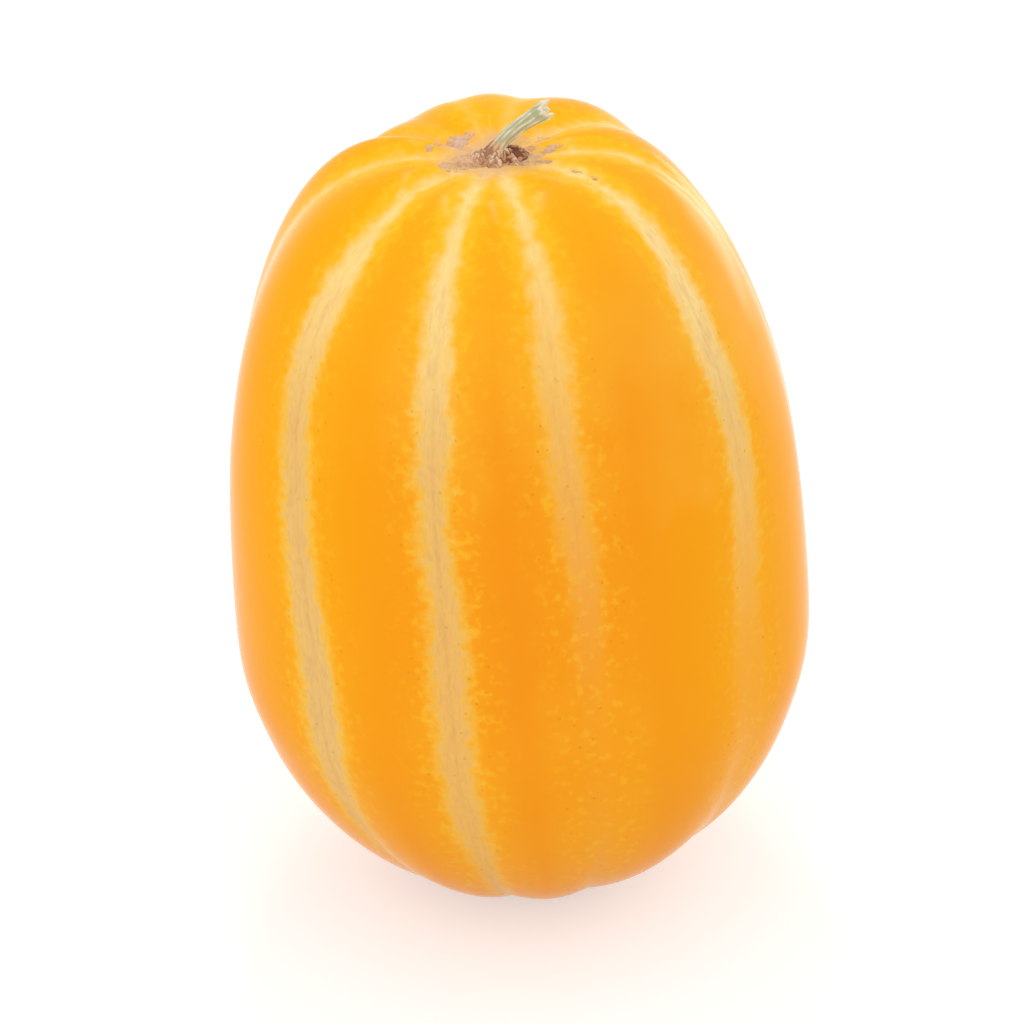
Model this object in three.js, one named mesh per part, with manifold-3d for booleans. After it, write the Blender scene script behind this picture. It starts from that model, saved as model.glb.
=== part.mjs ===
// Oriental melon: a barrel-shaped, ten-ribbed yellow fruit with the dried stub of its stalk, standing on
// the small flat spot at its blossom end and leaning a little to the left.
// Millimetres, +Z up, -Y to the front, +X to the right. The origin is the middle of the flat spot.
import * as THREE from "three";
import { mergeVertices } from "three/addons/utils/BufferGeometryUtils.js";
import Module from "manifold-3d";

const { degToRad, lerp, smoothstep } = THREE.MathUtils;

// Driving dimensions of the fruit, measured from the middle of its girth, the widest ring.
const GIRTH_RADIUS = 49;
const CROWN_RISE = 90; // up to where the crown would be without its dimple
const BASE_DROP = 55.5; // down to the blossom end, before the flat spot
const CROWN_SQUARENESS = 2.32; // superellipse exponents: 2 is an ellipse, more has squarer shoulders
const BASE_SQUARENESS = 2.03;
const GIRTH_BLEND = 0.35; // cosine of the polar angle over which the upper shape turns into the lower one
const DIMPLE_DEPTH = 8.2; // the hollow that the stalk stands in
const DIMPLE_RADIUS = 19;
const FLAT_DEPTH = 1.6; // how much of the round blossom end the flat spot takes away
const LEAN = degToRad(-3.1); // about Y, so that the crown moves to -X

// The grooves between the ribs, given at four levels that go from beside the stalk over the shoulder and
// the girth to the blossom end: azimuths in degrees from the front towards +X, depths, and how far the
// rib that follows each groove stands out beyond the others.
const GROOVE_LEVELS = [20, 52, 90, 170].map(degToRad);
const GROOVES = [
  { azimuths: [-86, -97, -95, -92], depths: [0.6, 0.5, 0.9, 1], swells: [0.4, 0.6, 0, 0] },
  { azimuths: [-49, -53, -43, -34], depths: [1.1, 1.2, 1, 1], swells: [0, 0, 0, 0] },
  { azimuths: [-15, -16, -13, -8], depths: [0.8, 0.8, 0.8, 1], swells: [0, 0, 0, 0] },
  { azimuths: [13, 13, 15, 20], depths: [0.7, 0.7, 0.8, 1], swells: [0, 0, 0, 0] },
  { azimuths: [58, 57, 52, 52], depths: [1.2, 1.2, 1, 1], swells: [-0.3, -0.8, 0, 0] },
  { azimuths: [92, 95, 90, 88], depths: [1.2, 1.2, 1, 1], swells: [0, -0.9, 0, 0] },
  { azimuths: [126, 126, 127, 126], depths: [1.5, 1.1, 1, 1], swells: [0.6, 1.7, 0, 0] },
  { azimuths: [169, 162, 162, 162], depths: [0.2, 0.9, 1, 1], swells: [0.5, 0.5, 0, 0] },
  { azimuths: [198, 203, 198, 195], depths: [0, 0.1, 0.9, 1], swells: [-1.3, -0.4, 0, 0] },
  { azimuths: [236, 237, 232, 231], depths: [3, 1.8, 1.1, 1], swells: [0.9, 0.9, 0, 0] },
];
const RIBS = GROOVES.length;
const GROOVE_SOFTNESS = 0.12; // 0 is a sharp crease
const GROOVE_FADE_RADIUS = 14; // inside this distance from the axis grooves and swells run out

// The stalk: a foot of corky layers, wider from side to side than from front to back, a thin neck and a
// cut end that flares. Radius against the length along the stalk, and the Bezier curve that its middle
// line follows from the crown.
const STALK_PROFILE = [
  [0, 0],
  [4.4, 0],
  [4.7, 0.3],
  [4.2, 0.8],
  [2.9, 1.2],
  [1.7, 1.8],
  [1.25, 3],
  [1.2, 6.5],
  [1.3, 9],
  [1.45, 11],
  [1.7, 12],
  [1.1, 12],
  [0, 11.5],
];
const STALK_LENGTH = 12;
const STALK_ROUTE = [
  [0.2, 0, 0.8],
  [0.9, 0, 3.4],
  [4.8, 0.6, 6],
  [8.6, 1.1, 7.6],
];
const FOOT_HEIGHT = 2.4; // the foot's own shape has run out here
const FOOT_STRETCH = new THREE.Vector2(1.12, 0.82); // across and from front to back
const FOOT_SHIFT = new THREE.Vector2(0.1, -0.5);
const STALK_RIDGES = 5;
const RIDGE_HEIGHT = 0.06; // as a share of the radius

// Facets.
const FACETS_PER_RIB = 8;
const RINGS = 38;
const STALK_SIDES = 20;
const STALK_STEPS = 30;
const SLOPE_STEP = 1e-3; // radians, for the slope of the fruit's outline

const wasm = await Module();
wasm.setup();

// A closed geometry as a manifold-3d solid.
function solidOf(geometry) {
  geometry.deleteAttribute("normal");
  geometry.deleteAttribute("uv");
  const merged = mergeVertices(geometry);
  const vertProperties = merged.getAttribute("position").array;
  const triVerts = new Uint32Array(merged.index.array);
  return new wasm.Manifold(new wasm.Mesh({ numProp: 3, vertProperties, triVerts }));
}

// A manifold-3d solid as a geometry.
function geometryOf(solid) {
  const { vertProperties, triVerts } = solid.getMesh();
  const geometry = new THREE.BufferGeometry();
  geometry.setAttribute("position", new THREE.BufferAttribute(vertProperties, 3));
  geometry.setIndex(new THREE.BufferAttribute(triVerts, 1));
  geometry.computeVertexNormals();
  return geometry;
}

// Distance from the axis and height of the fruit's outline, from the crown (polar angle 0) to the
// blossom end (pi): half a superellipse above the girth and a shorter one below it.
function outline(polar) {
  const side = Math.sin(polar);
  const up = Math.cos(polar);
  const crownShare = smoothstep(up, -GIRTH_BLEND, GIRTH_BLEND);
  const squareness = lerp(BASE_SQUARENESS, CROWN_SQUARENESS, crownShare);
  const halfHeight = lerp(BASE_DROP, CROWN_RISE, crownShare);
  const reach = (side ** squareness + Math.abs(up) ** squareness) ** (-1 / squareness);
  const radius = GIRTH_RADIUS * reach * side;
  const dimple = up > 0 ? DIMPLE_DEPTH * Math.exp(-((radius / DIMPLE_RADIUS) ** 2)) : 0;
  return new THREE.Vector2(radius, halfHeight * reach * up - dimple);
}

// Eases between the values that are given at the levels of the grooves.
function atLevel(values, polar) {
  let result = values[0];
  for (let level = 1; level < GROOVE_LEVELS.length; level++) {
    const change = values[level] - values[level - 1];
    result += change * smoothstep(polar, GROOVE_LEVELS[level - 1], GROOVE_LEVELS[level]);
  }
  return result;
}

// A point of the fruit's skin. Whole values of around, from 0 up to RIBS, are grooves, and the ribs lie
// between them.
function skinPoint(around, polar) {
  const rib = Math.floor(around);
  const next = (rib + 1) % RIBS;
  const left = atLevel(GROOVES[rib].azimuths, polar);
  const right = atLevel(GROOVES[next].azimuths, polar) + (next === 0 ? 360 : 0);
  const azimuth = degToRad(lerp(left, right, around - rib));
  const point = outline(polar);

  const slope = outline(Math.min(polar + SLOPE_STEP, Math.PI)).sub(
    outline(Math.max(polar - SLOPE_STEP, 0)),
  );
  const outward = new THREE.Vector2(-slope.y, slope.x).normalize();
  const nearest = Math.round(around);
  const crease = Math.max(0, 1 - Math.hypot(2 * (around - nearest), GROOVE_SOFTNESS)) ** 2;
  const depth = atLevel(GROOVES[nearest % RIBS].depths, polar) * crease;
  const swell = atLevel(GROOVES[rib].swells, polar) * Math.sin(Math.PI * around) ** 2;
  const lift = (swell - depth) * smoothstep(point.x, 0, GROOVE_FADE_RADIUS);
  point.addScaledVector(outward, lift);
  return new THREE.Vector3(point.x * Math.sin(azimuth), -point.x * Math.cos(azimuth), point.y);
}

// The whole fruit, round at its blossom end: a sphere's grid laid over the skin.
function roundFruit() {
  const columns = RIBS * FACETS_PER_RIB;
  const geometry = new THREE.SphereGeometry(1, columns, RINGS);
  const position = geometry.getAttribute("position");
  for (let i = 0; i < position.count; i++) {
    const column = i % (columns + 1);
    const ring = Math.floor(i / (columns + 1));
    const point = skinPoint((column % columns) / FACETS_PER_RIB, (ring / RINGS) * Math.PI);
    position.setXYZ(i, point.x, point.y, point.z);
  }
  return geometry;
}

// The fruit with its flat spot: everything below the surface that it stands on is cut away.
function fruit(standing) {
  const side = 4 * GIRTH_RADIUS;
  const below = new THREE.BoxGeometry(side, side, side)
    .translate(0, 0, -side / 2)
    .applyMatrix4(standing.matrix.clone().invert());
  const skin = new THREE.MeshStandardMaterial({ color: 0xfa9f20, roughness: 0.42, metalness: 0 });
  const mesh = new THREE.Mesh(geometryOf(solidOf(roundFruit()).subtract(solidOf(below))), skin);
  mesh.name = "fruit";
  return mesh;
}

// The stalk: its profile is turned, ridged lengthwise, stretched at its foot and bent along its route.
function stalk() {
  const profile = STALK_PROFILE.map(([radius, length]) => new THREE.Vector2(radius, length));
  const sides = new THREE.SplineCurve(profile.slice(1, -1)).getPoints(STALK_STEPS);
  const turned = [profile.at(0), ...sides, profile.at(-1)];
  const geometry = new THREE.LatheGeometry(turned, STALK_SIDES).rotateX(Math.PI / 2);
  const route = new THREE.CubicBezierCurve3(...STALK_ROUTE.map((at) => new THREE.Vector3(...at)));
  const position = geometry.getAttribute("position");
  const up = new THREE.Vector3(0, 0, 1);
  for (let i = 0; i < position.count; i++) {
    const spot = new THREE.Vector3().fromBufferAttribute(position, i);
    const along = THREE.MathUtils.clamp(spot.z / STALK_LENGTH, 0, 1);
    const ridge = 1 + RIDGE_HEIGHT * Math.cos(STALK_RIDGES * Math.atan2(spot.y, spot.x));
    const foot = 1 - smoothstep(spot.z, 0, FOOT_HEIGHT);
    const x = spot.x * ridge * lerp(1, FOOT_STRETCH.x, foot) + FOOT_SHIFT.x * foot;
    const y = spot.y * ridge * lerp(1, FOOT_STRETCH.y, foot) + FOOT_SHIFT.y * foot;
    const bend = new THREE.Quaternion().setFromUnitVectors(up, route.getTangent(along));
    bend.slerp(new THREE.Quaternion(), foot);
    spot.set(x, y, 0).applyQuaternion(bend).add(route.getPoint(along));
    position.setXYZ(i, spot.x, spot.y, spot.z);
  }
  const dried = new THREE.MeshStandardMaterial({ color: 0xcac39b, roughness: 0.85, metalness: 0 });
  const mesh = new THREE.Mesh(geometry, dried);
  mesh.name = "stalk";
  mesh.position.z = CROWN_RISE - DIMPLE_DEPTH;
  return mesh;
}

// Where the round blossom end of the leaning fruit would touch down: the point of the lower
// superellipse whose normal points straight down once the fruit leans.
function touchdown() {
  const dual = BASE_SQUARENESS / (BASE_SQUARENESS - 1);
  const side = GIRTH_RADIUS * Math.abs(Math.sin(LEAN));
  const down = BASE_DROP * Math.cos(LEAN);
  const reach = (side ** dual + down ** dual) ** (1 / dual);
  return new THREE.Vector3(
    Math.sign(LEAN) * GIRTH_RADIUS * (side / reach) ** (dual - 1),
    0,
    -BASE_DROP * (down / reach) ** (dual - 1),
  );
}

const leaning = new THREE.Group();
leaning.rotation.y = LEAN;
leaning.position.copy(touchdown().applyEuler(leaning.rotation).negate());
leaning.position.z -= FLAT_DEPTH;
leaning.updateMatrix();
leaning.add(fruit(leaning), stalk());

const group = new THREE.Group();
group.add(leaning);

export default group;
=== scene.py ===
"""Oriental melon, also called Korean melon or chamoe: a barrel-shaped orange-yellow fruit with ten ribs.

Pale stripes run down the grooves, corky tissue lines the dimple of the crown, and the dried stub of the
stalk stands in it. Metres, +Z up, -Y to the front, +X to the right; the origin is the middle of the flat
spot at the blossom end, on which the fruit stands.
"""

import logging
import math
from bisect import bisect_left
from dataclasses import dataclass
from enum import Enum
from functools import partial

import bmesh
import bpy
from mathutils import Matrix, Vector, noise
from mathutils.bvhtree import BVHTree
from mathutils.geometry import interpolate_bezier
from numpy import interp


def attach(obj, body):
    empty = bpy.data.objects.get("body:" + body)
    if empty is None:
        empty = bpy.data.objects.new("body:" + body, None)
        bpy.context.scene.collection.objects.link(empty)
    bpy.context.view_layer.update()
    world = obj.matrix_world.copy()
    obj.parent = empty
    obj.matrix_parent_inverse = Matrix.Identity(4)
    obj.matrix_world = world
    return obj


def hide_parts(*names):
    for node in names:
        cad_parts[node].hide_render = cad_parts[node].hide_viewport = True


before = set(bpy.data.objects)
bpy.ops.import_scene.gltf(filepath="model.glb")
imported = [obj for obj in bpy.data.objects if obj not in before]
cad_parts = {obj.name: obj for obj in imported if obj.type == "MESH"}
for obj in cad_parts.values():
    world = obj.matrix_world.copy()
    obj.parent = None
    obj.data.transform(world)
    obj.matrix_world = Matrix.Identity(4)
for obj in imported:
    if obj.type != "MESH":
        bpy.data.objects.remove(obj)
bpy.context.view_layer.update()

log = logging.getLogger("oriental_melon")

MM = 0.001
FULL_TURN = 2 * math.pi
UP = Vector((0.0, 0.0, 1.0))
SMALL_ANGLE = 1e-3
ROW_TOLERANCE = 1e-4
AROUND_TOLERANCE = 1e-6
MERGE_DISTANCE = 1e-7


class Slot(Enum):
    """The material slots of the record."""

    RIND = "rind"
    STALK = "dried_stalk"


# ---------------------------------------------------------------- small helpers


def smooth_step(low: float, high: float, value: float) -> float:
    """Eases from 0 at low to 1 at high."""
    share = min(max((value - low) / (high - low), 0.0), 1.0)
    return share * share * (3 - 2 * share)


def blend(first: float, second: float, share: float) -> float:
    """Goes from first to second as share goes from 0 to 1."""
    return first + (second - first) * share


def linear(hex_colour: str) -> tuple[float, float, float, float]:
    """Turns an sRGB hex colour into the linear colour that a shader takes."""
    parts = [int(hex_colour[i : i + 2], 16) / 255 for i in (1, 3, 5)]
    return (*[c / 12.92 if c <= 0.04045 else ((c + 0.055) / 1.055) ** 2.4 for c in parts], 1.0)


def per(size_mm: float) -> float:
    """The scale of a pattern in metres whose features are that many millimetres apart."""
    return 1 / (size_mm * MM)


def add_node(
    tree: bpy.types.NodeTree, kind: str, inputs: dict | None = None, **settings: object
) -> bpy.types.Node:
    """Adds one node to a material, a world or a lamp.

    Args:
        tree: the node tree.
        kind: the node's type name.
        inputs: socket name or number to a value, or to the output socket that feeds it.
        settings: the node's own properties.

    Returns:
        The new node.
    """
    node = tree.nodes.new(kind)
    for name, value in settings.items():
        setattr(node, name, value)
    for socket, value in (inputs or {}).items():
        if isinstance(value, bpy.types.NodeSocket):
            tree.links.new(value, node.inputs[socket])
        else:
            node.inputs[socket].default_value = value
    return node


def new_material(name: str) -> tuple[bpy.types.Material, bpy.types.NodeTree, bpy.types.Node]:
    """Makes an empty material.

    Args:
        name: what the real material is.

    Returns:
        The material, its node tree and its output node.
    """
    material = bpy.data.materials.new(name)
    material.use_nodes = True
    tree = material.node_tree
    tree.nodes.clear()
    return material, tree, add_node(tree, "ShaderNodeOutputMaterial")


def turned(profile: list[tuple[float, float]], steps: int) -> bmesh.types.BMesh:
    """Spins a profile once round Z.

    Args:
        profile: (distance from Z, height) pairs, from one end of the profile to the other.
        steps: how many columns of faces go round.

    Returns:
        The turned shape, with its poles and seam closed.
    """
    shape = bmesh.new()
    verts = [shape.verts.new((0.0, -radius, height)) for radius, height in profile]
    edges = [shape.edges.new(pair) for pair in zip(verts, verts[1:])]
    geometry = verts + edges
    bmesh.ops.spin(
        shape, geom=geometry, cent=(0, 0, 0), axis=(0, 0, 1), angle=FULL_TURN, steps=steps, use_merge=True
    )
    bmesh.ops.remove_doubles(shape, verts=shape.verts, dist=MERGE_DISTANCE)
    return shape


def finish_piece(
    shape: bmesh.types.BMesh, name: str, material: bpy.types.Material
) -> bpy.types.Object:
    """Turns a shape into a finished piece that rides on the one body.

    Args:
        shape: the modelled shape, where it stands.
        name: the piece's name.
        material: its finish.

    Returns:
        The piece.
    """
    bmesh.ops.recalc_face_normals(shape, faces=shape.faces)
    for face in shape.faces:
        face.smooth = True
    data = bpy.data.meshes.new(name)
    shape.to_mesh(data)
    shape.free()
    piece = bpy.data.objects.new(name, data)
    bpy.context.scene.collection.objects.link(piece)
    data.materials.append(material)
    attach(piece, "root")
    return piece


# ---------------------------------------------------------------- the fruit's form


Levels = tuple[float, float, float, float]


@dataclass(frozen=True)
class Groove:
    """One groove between two ribs, given at four levels from the crown to the blossom end.

    Args:
        azimuths: degrees from the front towards +X.
        depth: in millimetres.
        stripe: half widths of the pale stripe in the groove, in millimetres. One far below 0 makes the
            stripe taper sooner, down to the thinnest stripe that the skin draws.
        pallor: how pale the stripe is, from 0, as the ribs are, to 1.
        swell: how far the rib on its right stands out beyond the others, in millimetres.
    """

    azimuths: Levels
    depth: Levels
    stripe: Levels
    pallor: Levels
    swell: Levels = (0.0, 0.0, 0.0, 0.0)


@dataclass(frozen=True)
class Ring:
    """The skin at one polar angle.

    Args:
        radius: distance of the ribs' crests from the axis.
        height: height above the girth.
        outward: the skin's outward direction there, away from the axis and upwards.
        azimuths: the grooves' azimuths in radians, and the first one's again a full turn on.
        depths: how deep the grooves are, and the first one again.
        swells: how far the ribs stand out.
        softness: how rounded the grooves are; 0 is a sharp crease.
    """

    radius: float
    height: float
    outward: tuple[float, float]
    azimuths: tuple[float, ...]
    depths: tuple[float, ...]
    swells: tuple[float, ...]
    softness: float

    def azimuth(self, around: float) -> float:
        """Azimuth of a spot; whole values of around are grooves, and the ribs lie between them."""
        rib = int(around)
        return blend(self.azimuths[rib], self.azimuths[rib + 1], around - rib)

    def point(self, around: float, lift: float) -> Vector:
        """A point that stands off the skin by lift, in the fruit's own frame."""
        from_groove = 2 * abs(around - round(around))
        crease = max(0.0, 1 - math.hypot(from_groove, self.softness)) ** 2
        lift += self.swells[int(around)] * math.sin(math.pi * around) ** 2
        lift -= self.depths[round(around)] * crease
        radius, height = self.radius + self.outward[0] * lift, self.height + self.outward[1] * lift
        azimuth = self.azimuth(around)
        return Vector((radius * math.sin(azimuth), -radius * math.cos(azimuth), height))

    def gap(self, around: float) -> float:
        """Distance along the skin from the nearest groove, less than 0 on its left."""
        return self.radius * (self.azimuth(around) - self.azimuths[round(around)])


@dataclass(frozen=True)
class MelonForm:
    """The skin of the fruit as a formula. Its own frame has its origin in the middle of the girth.

    The crown's half and the blossom end's half are superellipses that blend at the girth, with a dimple in
    the crown. The levels are polar angles from the crown.
    """

    girth_radius: float = 49 * MM
    crown_rise: float = 90 * MM
    base_drop: float = 55.5 * MM
    crown_squareness: float = 2.32
    base_squareness: float = 2.03
    girth_blend: float = 0.35
    dimple_depth: float = 8.2 * MM
    dimple_radius: float = 19 * MM
    flat_depth: float = 1.6 * MM
    lean: float = math.radians(-3.1)
    groove_softness: float = 0.12
    groove_fade_radius: float = 14 * MM
    levels: Levels = tuple(math.radians(a) for a in (20, 52, 90, 170))
    grooves: tuple[Groove, ...] = (
        Groove(
            azimuths=(-86, -97, -95, -92), depth=(0.6, 0.5, 0.9, 1.0), swell=(0.4, 0.6, 0.0, 0.0),
            stripe=(0.8, 1.2, 2.2, 1.6), pallor=(0.6, 0.6, 0.7, 0.6),
        ),
        Groove(
            azimuths=(-49, -53, -43, -34), depth=(1.1, 1.2, 1.0, 1.0),
            stripe=(0.9, 3.8, 4.5, -2.4), pallor=(0.9, 0.82, 0.95, 0.0),
        ),
        Groove(
            azimuths=(-15, -16, -13, -8), depth=(0.8, 0.8, 0.8, 1.0),
            stripe=(1.0, 3.1, 3.6, 0.2), pallor=(1.0, 0.86, 0.7, 0.5),
        ),
        Groove(
            azimuths=(13, 13, 15, 20), depth=(0.7, 0.7, 0.8, 1.0),
            stripe=(1.1, 3.2, 2.6, 1.6), pallor=(0.85, 0.52, 0.02, 0.15),
        ),
        Groove(
            azimuths=(58, 57, 52, 52), depth=(1.2, 1.2, 1.0, 1.0), swell=(-0.3, -0.8, 0.0, 0.0),
            stripe=(0.9, 3.2, 4.1, 2.0), pallor=(1.1, 0.95, 0.08, 0.2),
        ),
        Groove(
            azimuths=(92, 95, 90, 88), depth=(1.2, 1.2, 1.0, 1.0), swell=(0.0, -0.9, 0.0, 0.0),
            stripe=(0.8, 1.3, 3.2, 2.0), pallor=(0.8, 0.45, 0.3, 0.5),
        ),
        Groove(
            azimuths=(126, 126, 127, 126), depth=(1.5, 1.1, 1.0, 1.0), swell=(0.6, 1.7, 0.0, 0.0),
            stripe=(1.0, 1.6, 3.6, 2.0), pallor=(0.7, 0.5, 0.8, 0.5),
        ),
        Groove(
            azimuths=(169, 162, 162, 162), depth=(0.2, 0.9, 1.0, 1.0), swell=(0.5, 0.5, 0.0, 0.0),
            stripe=(1.0, 1.6, 3.2, 1.8), pallor=(0.3, 0.4, 0.7, 0.6),
        ),
        Groove(
            azimuths=(198, 203, 198, 195), depth=(0.0, 0.1, 0.9, 1.0), swell=(-1.3, -0.4, 0.0, 0.0),
            stripe=(0.6, 1.2, 3.4, 1.8), pallor=(0.2, 0.3, 0.8, 0.5),
        ),
        Groove(
            azimuths=(236, 237, 232, 231), depth=(3.0, 1.8, 1.1, 1.0), swell=(0.9, 0.9, 0.0, 0.0),
            stripe=(1.4, 2.4, 3.6, 2.0), pallor=(0.4, 0.5, 0.7, 0.6),
        ),
    )

    def outline(self, polar: float) -> tuple[float, float]:
        """Distance from the axis and height of the skin at a polar angle, 0 at the crown."""
        side, up = max(math.sin(polar), 0.0), math.cos(polar)
        crown_share = smooth_step(-self.girth_blend, self.girth_blend, up)
        squareness = blend(self.base_squareness, self.crown_squareness, crown_share)
        half_height = blend(self.base_drop, self.crown_rise, crown_share)
        reach = (side**squareness + abs(up) ** squareness) ** (-1 / squareness)
        radius = self.girth_radius * reach * side
        dimple = self.dimple_depth * math.exp(-((radius / self.dimple_radius) ** 2)) if up > 0 else 0.0
        return radius, half_height * reach * up - dimple

    def at_level(self, values: Levels, polar: float) -> float:
        """Eases between four values given at the four levels."""
        result = values[0]
        for i in range(1, len(values)):
            share = smooth_step(self.levels[i - 1], self.levels[i], polar)
            result += (values[i] - values[i - 1]) * share
        return result

    def ring(self, polar: float) -> Ring:
        """The skin at a polar angle."""
        low = self.outline(min(polar + SMALL_ANGLE, math.pi))
        high = self.outline(max(polar - SMALL_ANGLE, 0.0))
        run, drop, length = low[0] - high[0], high[1] - low[1], math.dist(low, high)
        radius, height = self.outline(polar)
        azimuths = [math.radians(self.at_level(groove.azimuths, polar)) for groove in self.grooves]
        fade = smooth_step(0, self.groove_fade_radius, radius) * MM
        depths = [self.at_level(groove.depth, polar) * fade for groove in self.grooves]
        swells = [self.at_level(groove.swell, polar) * fade for groove in self.grooves]
        return Ring(
            radius=radius,
            height=height,
            outward=(drop / length, run / length),
            azimuths=(*azimuths, azimuths[0] + FULL_TURN),
            depths=(*depths, depths[0]),
            swells=tuple(swells),
            softness=self.groove_softness,
        )

    def standing(self) -> Matrix:
        """Takes the fruit's own frame to the real one: it leans, and its flat spot comes to the origin."""
        dual = self.base_squareness / (self.base_squareness - 1)
        side = self.girth_radius * abs(math.sin(self.lean))
        down = self.base_drop * math.cos(self.lean)
        reach = (side**dual + down**dual) ** (1 / dual)
        across = math.copysign(self.girth_radius, self.lean) * (side / reach) ** (dual - 1)
        lowest = Vector((across, 0.0, -self.base_drop * (down / reach) ** (dual - 1)))
        leaning = Matrix.Rotation(self.lean, 4, "Y")
        foot = leaning @ lowest + UP * self.flat_depth
        return Matrix.Translation(-foot) @ leaning


# ---------------------------------------------------------------- finishes


@dataclass(frozen=True)
class RindFinish:
    """Waxy melon rind: orange ribs, feathered pale stripes in the grooves and corky skin at the crown.

    Its thin wax gives the ribs a soft gloss, while cork and scars stay dull. Its colours also hold painted
    light: a paler painted sheen on the right, and sides, top and bottom that are partly lightened with
    painted light.
    """

    # Lighter and yellower towards the bottom: partly the rind's own colour, partly painted bounce light from
    # the card below.
    rib_low_and_bounce_light: str = "#fba61f"
    # Yellower high up: partly the rind's own colour, partly painted light from above.
    rib_middle: str = "#fa9c18"
    rib_high_and_top_light: str = "#fdb32c"
    rib_crest: str = "#f68c10"
    # Painted sheen: a paler colour laid on the right side high up, in place of a reflection of the soft box
    # there.
    sunned: str = "#feba50"
    # Yellower left and right sides as seen from the front: partly the rind's own colour, partly painted
    # light.
    side: str = "#ffb000"
    crown: str = "#fca704"
    crown_groove: str = "#feb400"
    lemon: str = "#fec02c"
    lemon_high: str = "#fdc02a"
    stripe_edge: str = "#f3c556"
    stripe_middle: str = "#eabd72"
    stripe_high: str = "#fbd98f"
    stripe_stain: str = "#d8a873"
    vein: str = "#cb9658"
    cork: str = "#deac76"
    cork_pale: str = "#efc680"
    cork_lilac: str = "#e0b78e"
    scar: str = "#e0b088"
    scar_lilac: str = "#d6b7a6"
    scar_brown: str = "#a8734f"
    speck: str = "#b4701f"
    # How far each pattern moves the edge of a stripe, of its halo, of the cork or of a scar.
    hair_reach: float = 2.0 * MM
    patch_reach: float = 3.6 * MM
    freckle_reach: float = 1.6 * MM
    halo_reach: float = 4.5 * MM
    crown_halo: float = 1.4 * MM
    cork_reach: float = 9 * MM
    scar_reach: float = 2.4 * MM
    scar_peel_reach: float = 1.4 * MM
    # Distances along the skin from its crown between which the look of the crown fades out.
    crown_full: float = 22 * MM
    crown_end: float = 62 * MM
    # How far the blotches move the heights at which the ribs change colour.
    blotch_reach: float = 50 * MM
    speck_spacing_mm: float = 2.6
    # Wax has an IOR of about 1.45; the bloom on the rind weakens its reflections to those of 1.1.
    ior: float = 1.1
    coat: float = 0.03
    roughness: float = 0.17
    cork_roughness: float = 0.8

    def material(self) -> bpy.types.Material:
        """Builds the rind's material."""
        material, tree, output = new_material("waxy_melon_rind")
        node = partial(add_node, tree)
        place = node("ShaderNodeTexCoord").outputs["Object"]
        grooves = node("ShaderNodeAttribute", attribute_name="groove_map").outputs["Vector"]
        fibres = node("ShaderNodeAttribute", attribute_name="fibre_map").outputs["Vector"]
        scars = node("ShaderNodeAttribute", attribute_name="scar_map").outputs["Vector"]
        aside, _, height = node("ShaderNodeSeparateXYZ", {0: place}).outputs
        gap, inside, pallor = node("ShaderNodeSeparateXYZ", {0: grooves}).outputs
        _, _, length = node("ShaderNodeSeparateXYZ", {0: fibres}).outputs
        scar_inside, lilac, dark = node("ShaderNodeSeparateXYZ", {0: scars}).outputs
        ramp = {"Value": length, "From Min": self.crown_end, "From Max": self.crown_full}
        crown = node("ShaderNodeMapRange", ramp, interpolation_type="SMOOTHSTEP").outputs[0]
        values = {"aside": aside, "height": height, "gap": gap, "inside": inside, "pallor": pallor}
        values |= {"length": length, "scar_inside": scar_inside, "lilac": lilac, "dark": dark, "crown": crown}

        # Natural unevenness: where each pattern lies, its size across and along in millimetres, and its
        # detail. The pores of the peel are finer than this; they are drawn as coarse as they need to show.
        for name, where, across, along, detail in (
            ("hairs", fibres, 2.4, 0.9, 2.0),
            ("patches", place, 3.2, 3.2, 3.0),
            ("freckles", place, 1.4, 1.4, 2.0),
            ("streaks", fibres, 0.6, 1.6, 3.0),
            ("stains", fibres, 1.8, 5.0, 3.0),
            ("blotches", place, 14.0, 14.0, 2.0),
            ("peel", place, 0.8, 0.8, 2.0),
        ):
            scale = (per(across), per(across), per(along))
            stretched = node("ShaderNodeMapping", {"Vector": where, "Scale": scale}).outputs[0]
            pattern = node("ShaderNodeTexNoise", {"Vector": stretched, "Scale": 1.0, "Detail": detail})
            values[name] = pattern.outputs[0]

        # Distances: how deep a spot is inside its stripe's feathered edge, the halo, the cork, which spreads
        # further to the sides, or a scar.
        for name, operation, *parts in (
            ("away", "SUBTRACT", 1.0, "crown"),
            ("hairs", "SUBTRACT", "hairs", 0.5),
            ("hairs", "MULTIPLY", "hairs", "away"),
            ("depth", "MULTIPLY_ADD", "hairs", self.hair_reach, "inside"),
            ("depth", "MULTIPLY_ADD", "patches", self.patch_reach, "depth"),
            ("depth", "MULTIPLY_ADD", "freckles", self.freckle_reach, "depth"),
            ("halo", "MULTIPLY_ADD", "freckles", self.halo_reach, "depth"),
            ("halo", "MULTIPLY_ADD", "crown", self.crown_halo, "halo"),
            ("outer", "ABSOLUTE", "aside"),
            ("uneven_height", "MULTIPLY_ADD", "blotches", self.blotch_reach, "height"),
            ("cork_edge", "MULTIPLY_ADD", "patches", self.cork_reach, "length"),
            ("cork_edge", "MULTIPLY_ADD", "outer", -0.15, "cork_edge"),
            ("scar_depth", "MULTIPLY_ADD", "freckles", self.scar_reach, "scar_inside"),
            ("scar_depth", "MULTIPLY_ADD", "peel", self.scar_peel_reach, "scar_depth"),
        ):
            inputs = {i: values.get(part, part) for i, part in enumerate(parts)}
            values[name] = node("ShaderNodeMath", inputs, operation=operation).outputs[0]

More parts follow.
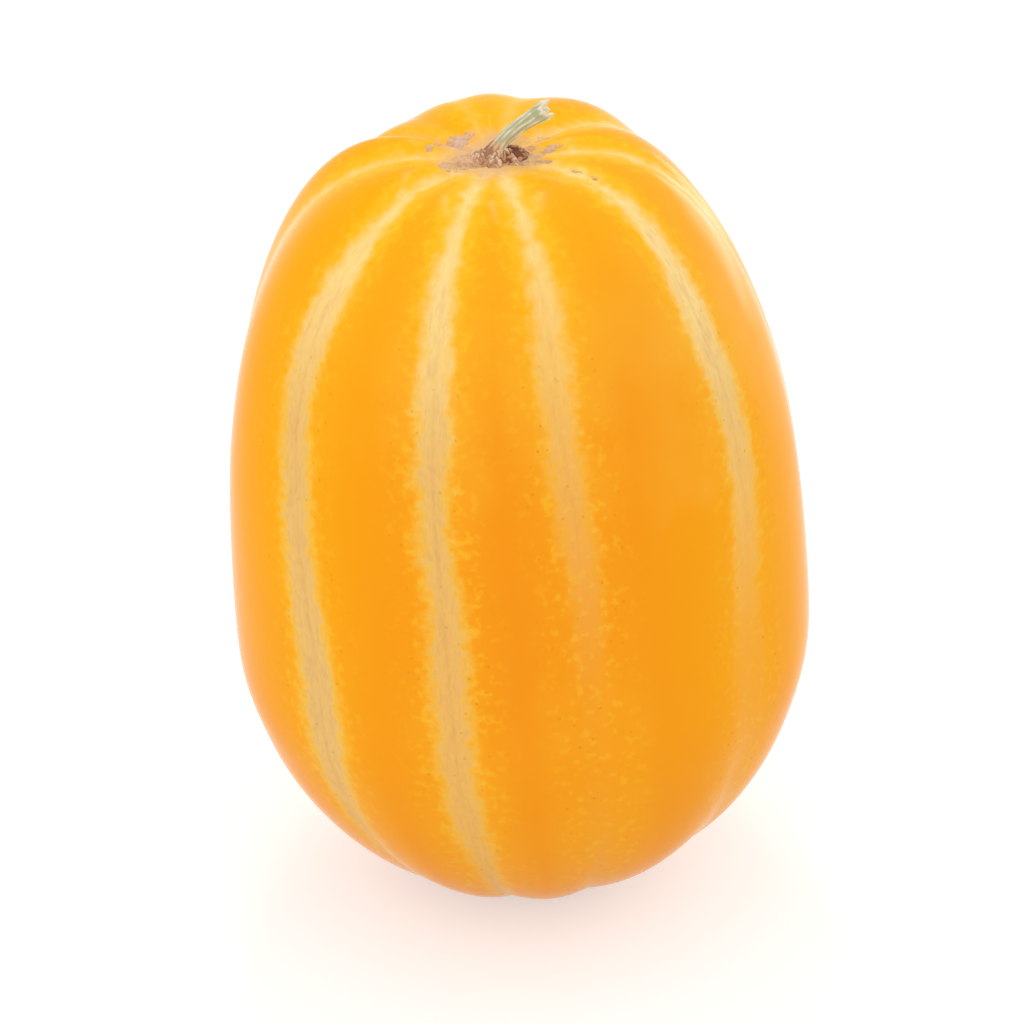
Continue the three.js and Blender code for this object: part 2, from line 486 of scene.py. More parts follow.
        # Shares: each goes from 0 where its value is the first number to 1 where it is the second.
        edge = (self.patch_reach + self.freckle_reach) / 2
        halo_edge = edge + self.halo_reach / 2
        for name, value, low, high in (
            ("core", "depth", edge - 1.4 * MM, edge + 1.8 * MM),
            ("fringe", "halo", halo_edge - 3.2 * MM, halo_edge + 0.8 * MM),
            ("middle", "depth", edge, edge + 2.2 * MM),
            ("beside", "inside", -9 * MM, -0.5 * MM),
            ("freckle", "freckles", 0.55, 0.66),
            ("streak", "streaks", 0.32, 0.56),
            ("stain", "stains", 0.42, 0.72),
            ("blotch", "blotches", 0.35, 0.65),
            ("ridge", "gap", 5 * MM, 12 * MM),
            ("groove", "gap", 6 * MM, 1 * MM),
            ("vein", "gap", 0.55 * MM, 0.1 * MM),
            # Painted sheen: grows towards the right side.
            ("sunned", "aside", 0 * MM, 45 * MM),
            # The sides as seen from the front: partly own colour, partly painted light.
            ("side", "outer", 10 * MM, 42 * MM),
            ("upper", "length", 68 * MM, 32 * MM),
            ("high", "uneven_height", 112 * MM, 160 * MM),
            ("low", "uneven_height", 100 * MM, 55 * MM),
            ("strength", "pallor", -0.2, 1.0),
            ("cork", "cork_edge", 13.0 * MM, 8.8 * MM),
            ("scar", "scar_depth", 1.5 * MM, 2.3 * MM),
        ):
            ramp = {"Value": values[value], "From Min": low, "From Max": high}
            values[name] = node("ShaderNodeMapRange", ramp, interpolation_type="SMOOTHSTEP").outputs[0]

        # Specks: round spots at the hearts of cells, where the skin cuts them. Their size is in spacings.
        cells = node("ShaderNodeTexVoronoi", {"Vector": place, "Scale": per(self.speck_spacing_mm)})
        specks = {"Value": cells.outputs["Distance"], "From Min": 0.13, "From Max": 0.05}
        values["speck"] = node("ShaderNodeMapRange", specks).outputs[0]

        # What the shares make together: how strong each layer of colour is, and the relief.
        for name, operation, *parts in (
            ("yellow", "MULTIPLY", "groove", "crown"),
            # Painted sheen on the right side, high up.
            ("sun", "MULTIPLY", "sunned", "high"),
            ("freckled", "MULTIPLY", "freckle", "beside"),
            ("upright", "MULTIPLY_ADD", "low", -0.7, 1.0),
            # Yellower sides, partly painted light, fading out towards the bottom.
            ("flank", "MULTIPLY", "side", "upright"),
            ("stripe", "MULTIPLY", "core", "pallor"),
            ("veined", "MULTIPLY_ADD", "blotch", 0.6, 0.4),
            ("veined", "MULTIPLY", "veined", "vein"),
            ("veined", "MULTIPLY", "veined", "away"),
            ("veined", "MULTIPLY", "veined", "stripe"),
            # Stripes are paler high up, and paler still on the right from the painted sheen.
            ("pale", "MULTIPLY_ADD", "sunned", 0.4, "upper"),
            ("stained", "MULTIPLY", "stain", "middle"),
            ("stained", "MULTIPLY", "stained", 0.3),
            ("brighter", "MULTIPLY_ADD", "crown", 0.3, 0.4),
            ("fringed", "MULTIPLY", "fringe", "strength"),
            ("fringed", "MULTIPLY", "fringed", "brighter"),
            ("browned", "MULTIPLY_ADD", "peel", 1.6, -0.7),
            ("browned", "ADD", "browned", "dark"),
            ("specked", "MULTIPLY", "speck", "beside"),
            ("specked", "MULTIPLY", "specked", "away"),
            ("dry", "MAXIMUM", "cork", "scar"),
            # Metres: fine peel texture, sunken stripes and veins, and scars that stand up.
            ("relief", "MULTIPLY", "peel", 0.015 * MM),
            ("relief", "MULTIPLY_ADD", "core", -0.06 * MM, "relief"),
            ("relief", "MULTIPLY_ADD", "veined", -0.03 * MM, "relief"),
            ("relief", "MULTIPLY_ADD", "patches", 0.03 * MM, "relief"),
            ("relief", "MULTIPLY_ADD", "scar", 0.2 * MM, "relief"),
        ):
            inputs = {i: values.get(part, part) for i, part in enumerate(parts)}
            values[name] = node("ShaderNodeMath", inputs, operation=operation).outputs[0]

        # Tones that are themselves mixed: the share, and the colours that it goes from and to.
        tones = {}
        for name, share, start, end in (
            # Yellower high up, partly painted light from above.
            ("rib", "high", self.rib_middle, self.rib_high_and_top_light),
            ("stripe", "middle", self.stripe_edge, self.stripe_middle),
            # Paler stripes high up, with painted sheen on the right.
            ("stripe", "pale", "stripe", self.stripe_high),
            ("stripe", "stained", "stripe", self.stripe_stain),
            ("lemon", "crown", self.lemon, self.lemon_high),
            ("cork", "freckles", self.cork, self.cork_pale),
            ("cork", "stain", "cork", self.cork_lilac),
            ("scar", "lilac", self.scar, self.scar_lilac),
            ("scar", "browned", "scar", self.scar_brown),
        ):
            first = tones[start] if start in tones else linear(start)
            mixed = node("ShaderNodeMix", {0: values[share], 6: first, 7: linear(end)}, data_type="RGBA")
            tones[name] = mixed.outputs[2]

        # Layers of colour over the ribs: where each lies, and how much it covers there at most.
        colour = tones["rib"]
        for share, most, tint in (
            # Lighter towards the bottom, partly painted bounce light.
            ("low", 1.0, linear(self.rib_low_and_bounce_light)),
            ("ridge", 0.34, linear(self.rib_crest)),
            # Yellower sides, partly painted light.
            ("flank", 0.7, linear(self.side)),
            # Painted sheen on the right side.
            ("sun", 0.7, linear(self.sunned)),
            ("crown", 0.7, linear(self.crown)),
            ("yellow", 0.8, linear(self.crown_groove)),
            ("freckled", 0.4, tones["lemon"]),
            ("fringed", 1.0, tones["lemon"]),
            ("stripe", 1.0, tones["stripe"]),
            ("veined", 0.22, linear(self.vein)),
            ("cork", 0.92, tones["cork"]),
            ("scar", 0.9, tones["scar"]),
            ("specked", 0.35, linear(self.speck)),
        ):
            amount = node("ShaderNodeMath", {0: values[share], 1: most}, operation="MULTIPLY")
            mixed = node("ShaderNodeMix", {0: amount.outputs[0], 6: colour, 7: tint}, data_type="RGBA")
            colour = mixed.outputs[2]

        # Fine lighter and darker streaks along the stripes.
        streak = node("ShaderNodeMapRange", {"Value": values["streak"], "To Min": 0.95, "To Max": 1.03})
        shade = node("ShaderNodeHueSaturation", {"Value": streak.outputs[0], "Color": colour})
        streaked = {0: values["stripe"], 6: colour, 7: shade.outputs[0]}
        dull = {"Value": values["dry"], "To Min": self.roughness, "To Max": self.cork_roughness}
        look = {
            "Base Color": node("ShaderNodeMix", streaked, data_type="RGBA").outputs[2],
            "Roughness": node("ShaderNodeMapRange", dull).outputs[0],
            "Normal": node("ShaderNodeBump", {"Height": values["relief"], "Distance": 1.0}).outputs[0],
            "IOR": self.ior,
            "Coat Weight": self.coat,
            "Coat Roughness": self.roughness,
        }
        tree.links.new(node("ShaderNodeBsdfPrincipled", look).outputs[0], output.inputs[0])
        return material


@dataclass(frozen=True)
class DryFinish:
    """Dead plant tissue, whose colours follow its relief and whose dry cells scatter the light."""

    relief: float
    roughness: float
    specular: float

    def dress(
        self,
        tree: bpy.types.NodeTree,
        output: bpy.types.Node,
        base: str,
        layers: tuple[tuple[bpy.types.NodeSocket, float, float, str], ...],
        pattern: bpy.types.NodeSocket,
    ) -> None:
        """Joins layers of colour and a fine relief to a material's output.

        Args:
            tree: the material's node tree.
            output: its output node.
            base: the colour under the layers.
            layers: for each, the value that it follows, where it starts, where it is full, and its colour.
            pattern: what stands up as the relief.
        """
        node = partial(add_node, tree)
        colour = linear(base)
        for value, start, full, tint in layers:
            ramp = {"Value": value, "From Min": start, "From Max": full}
            share = node("ShaderNodeMapRange", ramp, interpolation_type="SMOOTHSTEP").outputs[0]
            layer = {0: share, 6: colour, 7: linear(tint)}
            colour = node("ShaderNodeMix", layer, data_type="RGBA").outputs[2]
        relief = node("ShaderNodeMath", {0: pattern, 1: self.relief}, operation="MULTIPLY")
        bump = node("ShaderNodeBump", {"Height": relief.outputs[0], "Distance": 1.0})
        look = {
            "Base Color": colour,
            "Roughness": self.roughness,
            "Normal": bump.outputs[0],
            "Specular IOR Level": self.specular,
        }
        tree.links.new(node("ShaderNodeBsdfPrincipled", look).outputs[0], output.inputs[0])


@dataclass(frozen=True)
class StalkFinish(DryFinish):
    """Dried stalk: fibrous and matt, pale grey green with whitish ridges, browner at its foot.

    Its long dry fibres give it fine ridges without any gloss. Its brown at the foot and in the troughs
    between the ridges is partly its own colour and partly painted shade.
    """

    green: str = "#b6b690"
    ridge: str = "#e0dabe"
    tip: str = "#e8e1c4"
    brown: str = "#a67a59"
    strand: str = "#ddb491"
    torn: str = "#b0b48e"
    fibre_width_mm: float = 0.9
    stain_size_mm: float = 2.2
    relief: float = 0.12 * MM
    roughness: float = 0.75
    specular: float = 0.3

    def material(self) -> bpy.types.Material:
        """Builds the stalk's material."""
        material, tree, output = new_material("dried_stalk")
        node = partial(add_node, tree)
        place = node("ShaderNodeTexCoord").outputs["Object"]
        stalk_map = node("ShaderNodeAttribute", attribute_name="stalk_map").outputs["Vector"]
        crest, along, torn = node("ShaderNodeSeparateXYZ", {0: stalk_map}).outputs
        fibres, stains = [
            node("ShaderNodeTexNoise", {"Vector": place, "Scale": per(size), "Detail": detail}).outputs[0]
            for size, detail in ((self.fibre_width_mm, 4.0), (self.stain_size_mm, 3.0))
        ]
        ridge, stained = [
            node("ShaderNodeMath", {0: pattern, 1: most, 2: start}, operation="MULTIPLY_ADD").outputs[0]
            for pattern, most, start in ((fibres, 0.9, crest), (stains, 0.5, along))
        ]
        # Browner at the foot and in the troughs between the ridges: partly the stalk's own brown, partly
        # painted shade.
        brown_and_painted_shade = node("ShaderNodeMath", {0: crest, 1: 0.3, 2: stained}, operation="MULTIPLY_ADD").outputs[0]
        layers = (
            (ridge, 0.8, 1.4, self.ridge),
            (stained, 0.64, 0.44, self.strand),
            (brown_and_painted_shade, 0.66, 0.5, self.brown),
            (along, 0.93, 0.98, self.tip),
            # Darker green torn place: the pith's own colour with painted shade of the hollow.
            (torn, 0.2, 0.7, self.torn),
        )
        self.dress(tree, output, self.green, layers, fibres)
        return material


@dataclass(frozen=True)
class CorkFinish(DryFinish):
    """Dry cork of the scar around the stalk: pinkish tan, paler on its crests, dark in its gaps.

    Its crumbling cells scatter the light, so it is quite matt. Its dark gaps and pale crests are partly its
    own colour and partly painted shade and painted highlight.
    """

    # Dark in the gaps: partly the cork's own brown, partly painted shade.
    gap: str = "#85543c"
    body: str = "#c69872"
    # Pale on the crests: partly the cork's own colour, partly painted highlight.
    crest: str = "#e3cab0"
    crumb_size_mm: float = 0.7
    relief: float = 0.15 * MM
    roughness: float = 0.85
    specular: float = 0.2

    def material(self) -> bpy.types.Material:
        """Builds the cork's material."""
        material, tree, output = new_material("dry_cork")
        node = partial(add_node, tree)
        place = node("ShaderNodeTexCoord").outputs["Object"]
        cork_map = node("ShaderNodeAttribute", attribute_name="cork_map").outputs["Vector"]
        height, _, _ = node("ShaderNodeSeparateXYZ", {0: cork_map}).outputs
        scale = per(self.crumb_size_mm)
        crumbs = node("ShaderNodeTexNoise", {"Vector": place, "Scale": scale, "Detail": 4.0}).outputs[0]
        level = node("ShaderNodeMath", {0: crumbs, 1: 0.8, 2: height}, operation="MULTIPLY_ADD").outputs[0]
        # Colours follow the crumbs' height: painted shade in the gaps and painted highlight on the crests,
        # over the cork's own tones.
        layers = ((level, 0.45, 0.8, self.body), (level, 0.95, 1.35, self.crest))
        self.dress(tree, output, self.gap, layers, crumbs)
        return material


# ---------------------------------------------------------------- the pieces


@dataclass(frozen=True)
class Scar:
    """One strip of dead, corky skin beside the stalk, in millimetres of the fruit's own frame.

    Args:
        route: where its middle line runs.
        widths: its half widths along the route; below 0 only the ragged edge of the strip is left.
        lilac: its share of greyish lilac.
        dark: its share of dark brown.
        farthest: what any place that is further outside than this counts as.
    """

    route: tuple[tuple[float, float], ...]
    widths: tuple[float, ...]
    lilac: float = 0.0
    dark: float = 0.0
    farthest: float = -10.0

    def inside(self, x: float, y: float) -> float:
        """How deep inside the strip a place is, less than 0 outside it."""
        spot, deepest = Vector((x, y)), self.farthest
        for i in range(1, len(self.route)):
            start, end = Vector(self.route[i - 1]), Vector(self.route[i])
            run = end - start
            share = min(max((spot - start).dot(run) / run.length_squared, 0.0), 1.0)
            width = blend(self.widths[i - 1], self.widths[i], share)
            deepest = max(deepest, width - (spot - start - run * share).length)
        return deepest


@dataclass
class FruitSkin:
    """The fruit's whole outside as one closed skin.

    It carries three maps for its finish: its stripes, the run of its fibres and its scars.
    """

    form: MelonForm
    surface: BVHTree | None = None
    columns_per_rib: int = 36
    groove_crowding: float = 0.5
    row_step: float = 1.05 * MM
    dimple_row_step: float = 0.5 * MM
    dimple_rows_end: float = 12 * MM
    wide_rows_start: float = 30 * MM
    broad_lump: float = 0.35 * MM
    broad_lump_size: float = 30 * MM
    fine_lump: float = 0.06 * MM
    fine_lump_size: float = 9 * MM
    stripe_wander: float = 1.2 * MM
    stripe_wander_size: float = 22 * MM
    stripe_swell: float = 0.15
    # The least half width of a stripe, in millimetres as the grooves give theirs.
    thinnest_stripe: float = 0.6
    # Steps in the noise that make the stripes unlike each other, and a stripe's width unlike its course.
    stripe_shift: float = 7.3
    width_shift: Vector = Vector((0.0, 5.0, 0.0))
    scarred_radius: float = 22 * MM
    blossom_scar_radius: float = 4.5 * MM
    blossom_scar_dark: float = 0.3
    scars: tuple[Scar, ...] = (
        Scar(
            route=((-12.0, 0.6), (-9.6, 2.1), (-8.0, 3.5), (-6.6, 5.8), (-5.1, 7.0), (-3.6, 7.0)),
            widths=(0.1, 0.3, 0.9, 1.3, 1.1, 0.3),
            lilac=0.9,
        ),
        Scar(((-9.0, 2.6), (-7.2, 4.0), (-5.6, 5.6)), (0.6, 1.3, 1.2), lilac=0.9),
        Scar(((-7.8, -3.7), (-6.7, -3.5)), (0.9, 0.8), lilac=0.5),
        Scar(((-7.0, -3.2), (-5.2, -2.6), (-3.0, -2.2)), (0.6, 0.8, 1.2), lilac=0.1, dark=0.35),
        Scar(((-6.5, -1.0), (-4.0, -1.0)), (0.7, 1.6), lilac=0.2),
        Scar(((4.4, -2.2), (6.9, -2.6), (8.8, -3.0)), (0.7, 0.35, 0.25), lilac=0.5, dark=0.1),
        Scar(((5.0, -0.6), (7.6, -0.6)), (1.2, 0.5), lilac=0.9),
        Scar(((8.2, 0.6), (9.4, 1.3), (10.4, 1.8)), (0.3, 0.8, 0.3), lilac=1.0),
        Scar(((7.2, 4.6), (8.2, 5.0), (9.4, 5.2)), (0.3, 0.8, 0.3), lilac=1.0),
        Scar(((4.6, 1.6), (6.0, 2.4)), (1.1, 0.6), lilac=0.4),
        Scar(((12.9, -6.4), (14.0, -7.0)), (-0.1, -0.1), dark=0.5),
        Scar(((15.6, -8.0), (16.7, -8.7)), (-0.1, -0.1), dark=0.6),
    )
    unscarred: Vector = Vector((-1.0, 0.0, 0.0))

    def rows(self) -> list[float]:
        """Polar angles of the rows of faces, closer together in the dimple."""
        polars = [0.0]
        while polars[-1] < math.pi:
            here = self.form.outline(polars[-1])
            ahead = self.form.outline(polars[-1] + SMALL_ANGLE)
            wide = smooth_step(self.dimple_rows_end, self.wide_rows_start, here[0])
            dimple_share = 1 - wide if here[1] > 0 else 0.0
            spacing = blend(self.row_step, self.dimple_row_step, dimple_share)
            polars.append(polars[-1] + spacing * SMALL_ANGLE / math.dist(here, ahead))
        return [polar * math.pi / polars[-1] for polar in polars]

    def build(self) -> bmesh.types.BMesh:
        """Models the skin: a turned ball whose points are laid on the fruit's form."""
        form, ribs = self.form, len(self.form.grooves)
        rows = self.rows()
        rings = [form.ring(polar) for polar in rows]
        widths = [
            [max(form.at_level(g.stripe, polar), self.thinnest_stripe) * MM for g in form.grooves]
            for polar in rows
        ]
        pallors = [[form.at_level(g.pallor, polar) for g in form.grooves] for polar in rows]
        lengths = [0.0]
        for here, there in zip(rings, rings[1:]):
            step = math.dist((here.radius, here.height), (there.radius, there.height))
            lengths.append(lengths[-1] + step)
        inner = [(math.sin(polar), math.cos(polar)) for polar in rows[1:-1]]
        skin = turned([(0.0, 1.0), *inner, (0.0, -1.0)], ribs * self.columns_per_rib)
        groove_map = skin.verts.layers.float_vector.new("groove_map")
        fibre_map = skin.verts.layers.float_vector.new("fibre_map")
        scar_map = skin.verts.layers.float_vector.new("scar_map")
        standing = form.standing()
        for vert in skin.verts:
            x, y, z = vert.co
            row = bisect_left(rows, math.atan2(math.hypot(x, y), z) - ROW_TOLERANCE)
            around = math.atan2(x, -y) / FULL_TURN % 1.0 * ribs
            around -= self.groove_crowding * math.sin(FULL_TURN * around) / FULL_TURN
            around = min(max(around, 0.0), ribs - AROUND_TOLERANCE)

            # The stripe in the nearest groove wanders a little and changes its width.
            nearest = round(around) % ribs
            gap = rings[row].gap(around)
            spot = Vector((nearest * self.stripe_shift, 0.0, lengths[row] / self.stripe_wander_size))
            aside = noise.noise(spot) * self.stripe_wander
            wider = 1 + noise.noise(spot + self.width_shift) * self.stripe_swell
            inside = widths[row][nearest] * wider - abs(gap - aside)
            vert[groove_map] = Vector((abs(gap), inside, pallors[row][nearest]))

            # The fibres run from the crown to the blossom end, as on a tube as wide as the girth.
            fibre, radius = FULL_TURN * around / ribs, form.girth_radius
            vert[fibre_map] = Vector((radius * math.cos(fibre), radius * math.sin(fibre), lengths[row]))

            point = rings[row].point(around, self.lump(vert.co))
            vert[scar_map] = self.scar(point)
            vert.co = standing @ point
            vert.co.z = max(vert.co.z, 0.0)
        return skin

    def scar(self, point: Vector) -> Vector:
        """How deep inside a scar a point is, in metres, and the scar's shares of lilac and brown."""
        if point.z < 0:
            return Vector((self.blossom_scar_radius - point.xy.length, 0.0, self.blossom_scar_dark))
        if point.xy.length > self.scarred_radius:
            return self.unscarred
        x, y = point.x / MM, point.y / MM
        depths = [(scar.inside(x, y), scar) for scar in self.scars]
        inside, scar = max(depths, key=lambda pair: pair[0])
        return Vector((inside * MM, scar.lilac, scar.dark))

    def lump(self, direction: Vector) -> float:
        """How far the skin swells or sinks at a spot, from slow and quicker unevenness of growth."""
        spot = direction * self.form.girth_radius
        broad = noise.noise(spot / self.broad_lump_size) * self.broad_lump
        return broad + noise.noise(spot / self.fine_lump_size) * self.fine_lump

    def make(self) -> bpy.types.Object:
        """Builds and dresses the skin."""
        skin = self.build()
        self.surface = BVHTree.FromBMesh(skin)
        piece = finish_piece(skin, "fruit_skin", RindFinish().material())
        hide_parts("fruit")
        return piece

    def spot(self, x: float, y: float) -> Vector:
        """The point of the finished skin at a place beside the stalk, in the fruit's own frame."""
        standing = self.form.standing()
        start = standing @ Vector((x, y, self.form.crown_rise))
        hit = self.surface.ray_cast(start, standing.to_3x3() @ -UP)[0]
        return standing.inverted() @ hit


@dataclass
class StalkStub:
    """The dried stub of the stalk, from its foot to its ragged, hollow end.

    Its profile gives its radius along its length and its route the control points of its bend, both in
    millimetres. The hollow's rows are shares of the radius and of the length. The prongs are given by where
    they stand round the stalk, in radians, and their height in millimetres, as the fray is.
    """

    form: MelonForm
    profile: tuple[tuple[float, float], ...] = (
        (2.2, 0.0), (1.9, 0.8), (1.5, 1.6), (1.25, 2.6), (1.15, 3.8),
        (1.2, 6.5), (1.28, 9.0), (1.4, 11.0), (1.6, 12.0),
    )
    route: tuple[tuple[float, float, float], ...] = (
        (0.2, 0.0, 0.8), (0.9, 0.0, 3.4), (4.8, 0.6, 6.0), (8.6, 1.1, 7.6),
    )
    hollow: tuple[tuple[float, float], ...] = (
        (0.78, 1.0), (0.62, 0.985), (0.5, 0.95), (0.4, 0.91), (0.0, 0.9),
    )
    steps: int = 90
    sides: int = 96
    upright_foot: float = 2 * MM
    ridges: int = 5
    ridge_height: float = 0.1
    twist: float = 0.6
    bulge: float = 0.12
    prongs: tuple[tuple[float, float], ...] = ((3.1, 1.5), (5.2, 1.1), (1.2, 0.5))
    prong_sharpness: int = 10
    fray: float = 0.5
    torn_end: float = 0.9
    torn_angle: float = 3.9

    def build(self) -> bmesh.types.BMesh:
        """Models the stalk: a turned tube, ridged, torn at its end and bent along its route."""
        lengths = [length * MM for _, length in self.profile]
        radii = [radius * MM for radius, _ in self.profile]
        total = lengths[-1]
        walls = [(1.0, i / self.steps) for i in range(self.steps + 1)]
        tube = turned([(0.0, 0.0), *walls, *self.hollow], self.sides)
        stalk_map = tube.verts.layers.float_vector.new("stalk_map")
        points = [Vector(point) * MM for point in self.route]
        route = interpolate_bezier(*points, self.steps + 1)
        crown = Vector((0.0, 0.0, self.form.crown_rise - self.form.dimple_depth))
        standing = self.form.standing()
        for vert in tube.verts:
            along = min(max(vert.co.z, 0.0), 1.0)
            step = min(int(along * self.steps + 0.5), self.steps)
            ahead = route[min(step + 1, self.steps)] - route[max(step - 1, 0)]
            level = smooth_step(0, self.upright_foot, along * total)
            bend = UP.lerp(ahead.normalized(), level).normalized()
            turn = UP.rotation_difference(bend)
            angle = math.atan2(vert.co.y, vert.co.x)

            # Five twisted ridges, roughened, and a thickness that is nowhere quite the same.
            crest = math.cos(self.ridges * (angle + self.twist * along)) ** 2
            spot = Vector((math.cos(angle), math.sin(angle), along * 2))
            crest = crest * 0.5 + (noise.noise(spot * 3) + 0.5) * 0.5
            radius = float(interp(along * total, lengths, radii))
            radius *= 1 - self.ridge_height + 2 * self.ridge_height * crest
            radius *= 1 + self.bulge * noise.noise(spot * 1.5)
            flat = Vector((vert.co.x, vert.co.y, 0.0)) * radius

            # The end is torn into prongs, with a darker green place on one side: the torn pith's own colour,
            # with painted shade of the hollow.
            tear = self.fray * noise.noise(spot * 4)
            for at, height in self.prongs:
                tear += height * max(0.0, math.cos(angle - at)) ** self.prong_sharpness
            torn = bend * tear * MM * smooth_step(self.torn_end, 1.0, along)
            torn_pith_and_shade = max(0.0, math.cos(angle - self.torn_angle)) ** 2
            torn_pith_and_shade *= smooth_step(0.82, 0.88, along) * (1 - smooth_step(self.torn_end, 0.97, along))
            vert[stalk_map] = Vector((crest, along, torn_pith_and_shade))
            vert.co = standing @ (crown + route[step] + turn @ flat + torn)
        return tube

    def make(self) -> bpy.types.Object:
        """Builds and dresses the stalk."""
        piece = finish_piece(self.build(), "stalk_stub", StalkFinish().material())
        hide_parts("stalk")
        return piece


@dataclass
class CrownCork:
    """The knot of cork around the stalk's foot: a low mound of crumbs with gaps between them.

    Its back lies in the skin, as deep as its bed. A gap is as wide as a share of a crumb.
    """

    skin: FruitSkin
    middle: Vector = Vector((0.9, -0.1, 0.0)) * MM
    half_width: float = 4.7 * MM
    half_depth: float = 3.3 * MM
    rise: float = 1.5 * MM
    bed: float = 0.3 * MM
    rows: int = 70
    sides: int = 260
    ragged: float = 0.22
    crumple: float = 1.5 * MM
    crumple_size: float = 2.4 * MM
    crumb_size: float = 0.95 * MM
    crumb_rise: float = 0.7 * MM
    gap_width: float = 0.35
    gap_middle: Vector = Vector((1.4, 0.6, 0.0)) * MM
    gap_shade: float = 0.4
    side_shade: float = 0.15
    unevenness_shift: Vector = Vector((9.0, 0.0, 0.0))

    def crumbs(self, spot: Vector, angle: float) -> float:
        """How high the cork stands at a spot of its plan, from the bottom of a gap to the top of a crumb.

        Args:
            spot: the place in the knot, from its middle.
            angle: how far round it lies, from the front.

        Returns:
            About 0.2 in a gap and about 1 on a crumb.
        """
        warp = noise.noise(spot / self.crumple_size) * self.crumple
        warp += noise.noise(spot / self.crumple_size * 2.7) * self.crumple * 0.4
        across = (spot.length + warp) / (0.75 * self.crumb_size)
        around = angle * self.half_width / (2.2 * self.crumb_size)
        near, far = noise.voronoi(Vector((across, around, 0.0)))[0][:2]
        height = 0.25 + 0.75 * smooth_step(0.0, self.gap_width, far - near)
        return height * (0.85 + 0.9 * noise.noise(spot / self.crumple_size * 1.6 + self.unevenness_shift))

    def tone(self, spot: Vector) -> float:
        """How much paler the cork is on the left, and darker on the right and in the gap at the stalk."""
        right = smooth_step(0.0, 4 * MM, spot.x)
        left = smooth_step(-1 * MM, -4 * MM, spot.x)
        # Painted shade in the gap under the stalk.
        under = smooth_step(3.2 * MM, 0.8 * MM, (spot - self.gap_middle).length)
        return -self.side_shade * right + self.side_shade * left - self.gap_shade * under

    def build(self) -> bmesh.types.BMesh:
        """Models the knot: a turned disc with a back, its top broken into crumbs and laid on the skin."""
        rings = [(i / self.rows, 0.0) for i in range(self.rows + 1)]
        mound = turned([*rings, (0.9, -1.0), (0.0, -1.0)], self.sides)
        cork_map = mound.verts.layers.float_vector.new("cork_map")
        standing = self.skin.form.standing()
        for vert in mound.verts:
            x, y, z = vert.co
            share = math.hypot(x, y)
            angle = math.atan2(y, x)
            rim = noise.noise(Vector((math.cos(angle), math.sin(angle), 0.0)) * 2.2)
            spot = Vector((x * self.half_width, y * self.half_depth, 0.0)) * (1 + self.ragged * rim)
            height = self.crumbs(spot, math.atan2(x, -y))
            place = self.middle + spot
            foot = self.skin.spot(place.x, place.y)
            dome = self.rise * (1 - share**2.5)
            crumb = (height - 0.3) * self.crumb_rise * (1 - smooth_step(0.8, 1.0, share))
            on_top = z > -0.5 and share < 0.999
            # The map carries the crumbs' height, which the finish paints as shade in the gaps and light on
            # the crests, and the tone.
            vert[cork_map] = Vector((height + self.tone(spot), 0.0, 0.0))
            vert.co = standing @ (foot + UP * (dome + crumb if on_top else -self.bed))
        return mound

    def make(self) -> bpy.types.Object:
        """Builds and dresses the cork."""
        return finish_piece(self.build(), "cork_knot", CorkFinish().material())


# ---------------------------------------------------------------- the studio


@dataclass(frozen=True)
class SoftBox:
    """A lamp that faces the fruit.

    Args:
        name: the lamp's name.
        place: where it hangs.
        size: its width and height.
        share: how much of full even light it gives to a surface that faces it.
        tint: its colour.
    """

    name: str
    place: Vector
    size: tuple[float, float]
    share: float
    tint: str = "#ffffff"


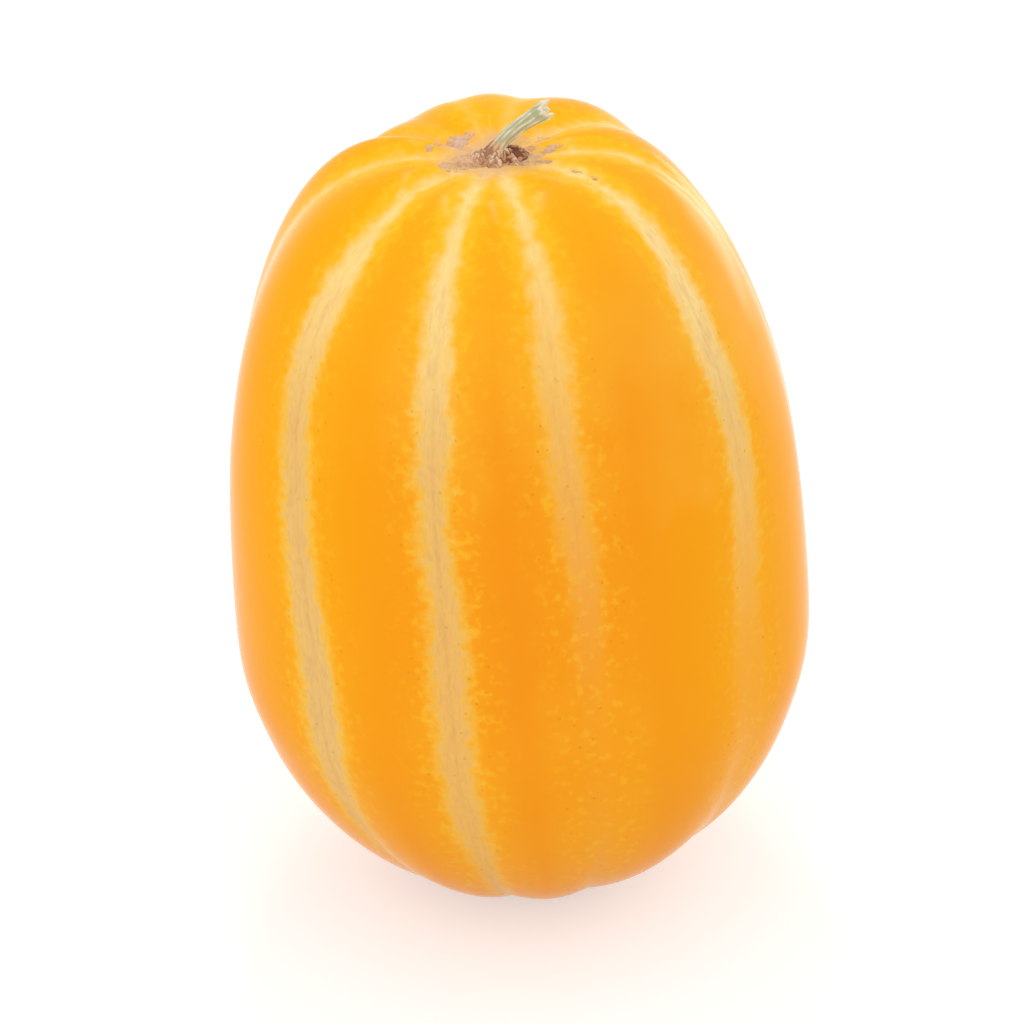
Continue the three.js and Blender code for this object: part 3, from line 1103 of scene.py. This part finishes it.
@dataclass
class Studio:
    """A white card to stand on, soft white light all round and a long lens."""

    camera_distance: float = 0.98
    camera_elevation: float = math.radians(32)
    lens_mm: float = 205.0
    aim: Vector = Vector((-0.002, 0.0, 0.068))
    card_half_width: float = 3.0
    soft_boxes: tuple[SoftBox, ...] = (
        SoftBox("back_box", Vector((-0.065, 0.55, 0.9)), (0.09, 0.5), 0.15),
        SoftBox("right_box", Vector((0.27, 0.38, 0.08)), (0.18, 0.16), 0.17, "#ffe2e6"),
        SoftBox("left_box", Vector((-0.6, -0.8, 0.3)), (0.4, 0.4), 0.06),
    )

    def floor(self) -> None:
        """Lays the white card, which is seen as nearly white but throws back only a plain card's light."""
        card = bmesh.new()
        bmesh.ops.create_grid(card, x_segments=1, y_segments=1, size=self.card_half_width)
        data = bpy.data.meshes.new("floor")
        card.to_mesh(data)
        card.free()
        floor = bpy.data.objects.new("floor", data)
        bpy.context.scene.collection.objects.link(floor)
        material, tree, output = new_material("matt_white_card")
        node = partial(add_node, tree)
        rays = node("ShaderNodeLightPath")
        seen = rays.outputs["Is Camera Ray"]
        for name in ("Is Glossy Ray", "Is Transmission Ray"):
            seen = node("ShaderNodeMath", {0: seen, 1: rays.outputs[name]}, operation="MAXIMUM").outputs[0]
        plain = node("ShaderNodeBsdfDiffuse", {"Color": (0.8, 0.8, 0.8, 1.0)})
        bright = node("ShaderNodeBsdfDiffuse", {"Color": (0.62, 0.6, 0.6, 1.0)})
        glow = node("ShaderNodeEmission", {"Color": (1.0, 1.0, 1.0, 1.0), "Strength": 0.5})
        white = node("ShaderNodeAddShader", {0: bright.outputs[0], 1: glow.outputs[0]})
        mix = node("ShaderNodeMixShader", {0: seen, 1: plain.outputs[0], 2: white.outputs[0]})
        tree.links.new(mix.outputs[0], output.inputs[0])
        data.materials.append(material)

    def sky(self) -> None:
        """Lights the scene evenly from all round, and shows white behind everything."""
        world = bpy.data.worlds.new("white_room")
        bpy.context.scene.world = world
        world.use_nodes = True
        tree = world.node_tree
        tree.nodes.clear()
        light = add_node(tree, "ShaderNodeBackground", {"Color": (1.0, 1.0, 1.0, 1.0), "Strength": 1.0})
        add_node(tree, "ShaderNodeOutputWorld", {"Surface": light.outputs[0]})

    def hang(self, box: SoftBox) -> None:
        """Hangs one soft box."""
        light = bpy.data.lights.new(box.name, "AREA")
        light.shape = "RECTANGLE"
        light.size, light.size_y = box.size
        light.color = linear(box.tint)[:3]
        light.energy = box.share * math.pi**2 * (box.place - self.aim).length_squared
        lamp = bpy.data.objects.new(box.name, light)
        lamp.location = box.place
        lamp.rotation_euler = (self.aim - box.place).to_track_quat("-Z", "Y").to_euler()
        bpy.context.scene.collection.objects.link(lamp)

    def camera(self) -> None:
        """Sets the camera at the viewing angle."""
        data = bpy.data.cameras.new("camera")
        data.lens = self.lens_mm
        data.clip_start, data.clip_end = 0.01, 20.0
        camera = bpy.data.objects.new("camera", data)
        back = Vector((0.0, -math.cos(self.camera_elevation), math.sin(self.camera_elevation)))
        camera.location = self.aim + back * self.camera_distance
        camera.rotation_euler = (-back).to_track_quat("-Z", "Y").to_euler()
        bpy.context.scene.collection.objects.link(camera)
        bpy.context.scene.camera = camera

    def make(self) -> None:
        """Sets up the floor, the light and the camera."""
        self.floor()
        self.sky()
        for box in self.soft_boxes:
            self.hang(box)
        self.camera()
        bpy.context.scene.view_settings.view_transform = "Standard"


def main() -> None:
    """Builds the studio and the melon, and reports each piece."""
    logging.basicConfig(level=logging.INFO, format="%(message)s")
    Studio().make()
    form = MelonForm()
    skin = FruitSkin(form)
    for part in (skin, StalkStub(form), CrownCork(skin)):
        piece = part.make()
        log.info("%s: %d faces", piece.name, len(piece.data.polygons))


if __name__ == "__main__":
    main()
